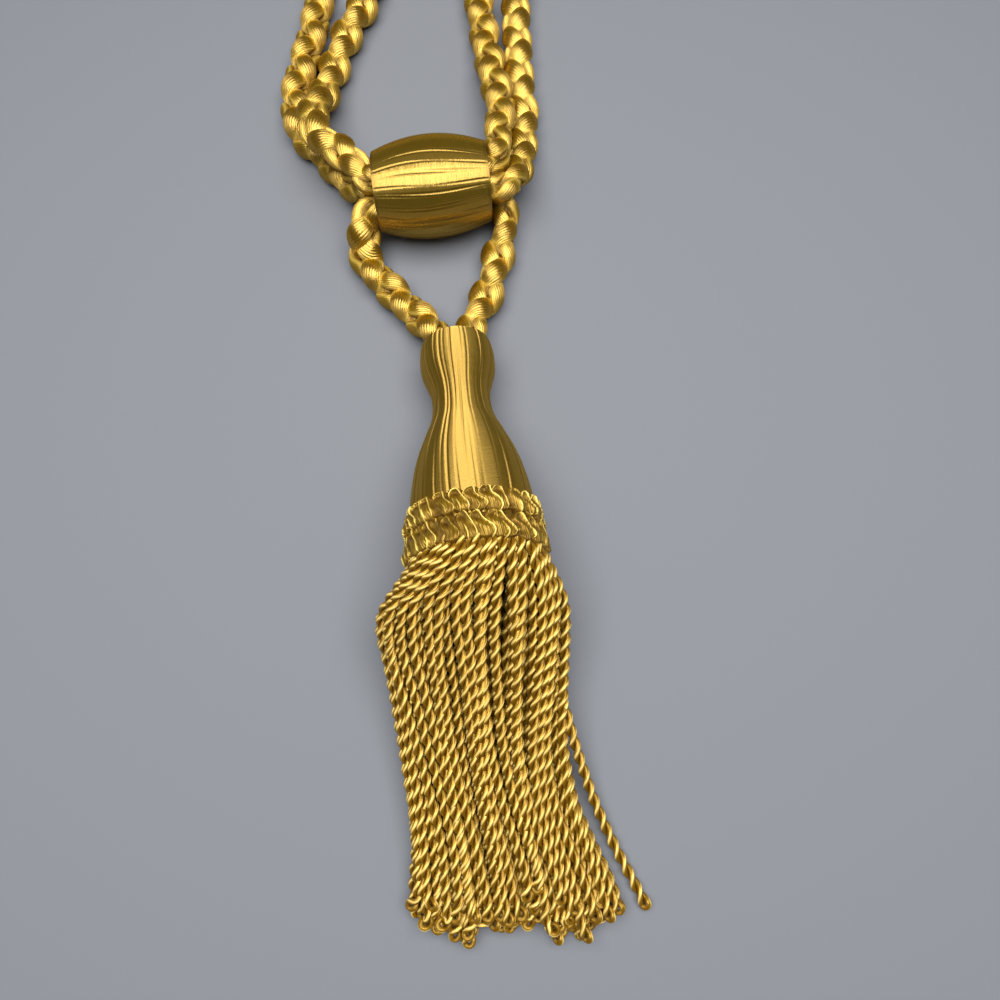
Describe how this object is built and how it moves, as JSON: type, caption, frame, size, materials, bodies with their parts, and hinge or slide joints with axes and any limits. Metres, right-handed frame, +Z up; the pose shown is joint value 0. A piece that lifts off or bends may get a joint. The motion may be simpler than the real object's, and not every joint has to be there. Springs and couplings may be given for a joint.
{
  "type": "curtain tieback tassel",
  "caption": "Braided satin cord with end loops, gathered by a barrel slider above a tassel with a wound head, looped ruff and bullion skirt.",
  "frame": {"origin": "on the surface the object lies on, under the middle of the barrel and tassel taken together", "axes": "+Z up from the surface; +Y from the fringe towards the end loops; +X to the right of the lying tassel"},
  "size_m": [0.1173, 0.4647, 0.0396],
  "materials": {
    "cord": "gold satin rayon, braided",
    "barrel": "gold satin thread, wound",
    "tassel_head": "gold satin thread, wound",
    "ruff": "gold satin gimp, looped",
    "skirt": "gold satin rayon, two-ply twisted rope"
  },
  "bodies": {
    "root": {"cord": "cord", "barrel": "barrel", "tassel_head": "tassel_head", "ruff_upper": "ruff", "ruff_lower": "ruff", "skirt": "skirt"}
  },
  "joints": []
}
